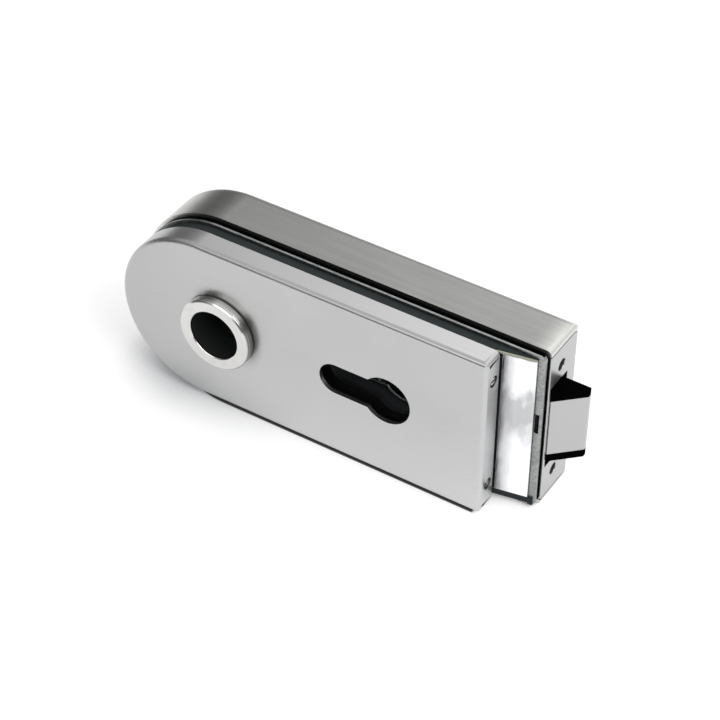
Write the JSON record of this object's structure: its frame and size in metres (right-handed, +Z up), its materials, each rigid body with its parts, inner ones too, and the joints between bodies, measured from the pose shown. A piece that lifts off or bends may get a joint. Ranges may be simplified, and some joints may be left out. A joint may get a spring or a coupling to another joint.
{
  "type": "glass door lock",
  "caption": "Patch lock for a frameless glass door: round-ended steel covers, handle rings, profile cylinder cut-out and a sprung bevelled latch.",
  "frame": {"origin": "on the handle hub's axis, in the plane where the front cover's rim ends and the glass begins", "axes": "+X from the hub towards the latch, +Y from the front cover into the lock, +Z up the door's edge"},
  "size_m": [0.1629, 0.0408, 0.065],
  "materials": {
    "satin_steel": "satin",
    "brushed_case": "brushed along the length",
    "polished_steel": "mirror polish",
    "ring_steel": "turned and polished",
    "cast_metal": "dark casting",
    "plated_steel": "zinc plated",
    "black_plate": "blackened",
    "rubber_layer": "matte",
    "black_nylon": "fine matte",
    "bush_brass": "turned",
    "spring_steel": "drawn wire"
  },
  "bodies": {
    "lock_body": {"front_cover": "satin_steel", "front_base": "black_plate", "front_ring": "ring_steel", "front_liner": "black_nylon", "ring_clip": "spring_steel", "rear_ring": "ring_steel", "rear_liner": "black_nylon", "case_cover": "brushed_case", "forend_plate": "satin_steel", "lock_chassis": "cast_metal", "back_plate": "cast_metal", "chassis_posts": "plated_steel", "glass_gasket": "rubber_layer", "nose_block": "rubber_layer", "nose_plate": "polished_steel", "case_lid": "plated_steel", "case_seal": "black_nylon", "latch_spring": "spring_steel", "follower_bush_front": "bush_brass", "follower_bush_rear": "bush_brass", "follower_spring": "spring_steel", "lever_pin": "spring_steel", "lever_spring": "spring_steel", "clamp_screws": "plated_steel", "cover_screws": "ring_steel", "forend_screws": "black_plate", "lid_screws": "plated_steel", "cylinder_screw": "plated_steel"},
    "hub": {"follower": "cast_metal"},
    "latch": {"latch_bolt": "satin_steel", "latch_cap_top": "black_nylon", "latch_cap_bottom": "black_nylon", "latch_slide": "plated_steel", "latch_rivets": "plated_steel"},
    "lever": {"change_lever": "plated_steel"}
  },
  "joints": [
    {"name": "hub_turn", "type": "hinge", "parent": "lock_body", "child": "hub", "pos_m": [0, 0.014, 0], "axis": [0, -1, 0], "range_deg": [0, 34.5], "deforming": ["follower_spring"]},
    {"name": "latch_travel", "type": "slide", "parent": "lock_body", "child": "latch", "axis": [-1, 0, 0], "range_m": [0, 0.009], "stiffness_N_per_m": 1500, "springref_m": -0.0044, "deforming": ["latch_spring"]},
    {"name": "lever_turn", "type": "hinge", "parent": "lock_body", "child": "lever", "pos_m": [0.085, 0.014, -0.004], "axis": [0, -1, 0], "range_deg": [0, 28.1], "deforming": ["lever_spring"]}
  ],
  "couplings": [
    {"joint": "hub_turn", "follows": "latch_travel", "rad_per_m": 66.87},
    {"joint": "lever_turn", "follows": "latch_travel", "rad_per_m": 54.37}
  ]
}
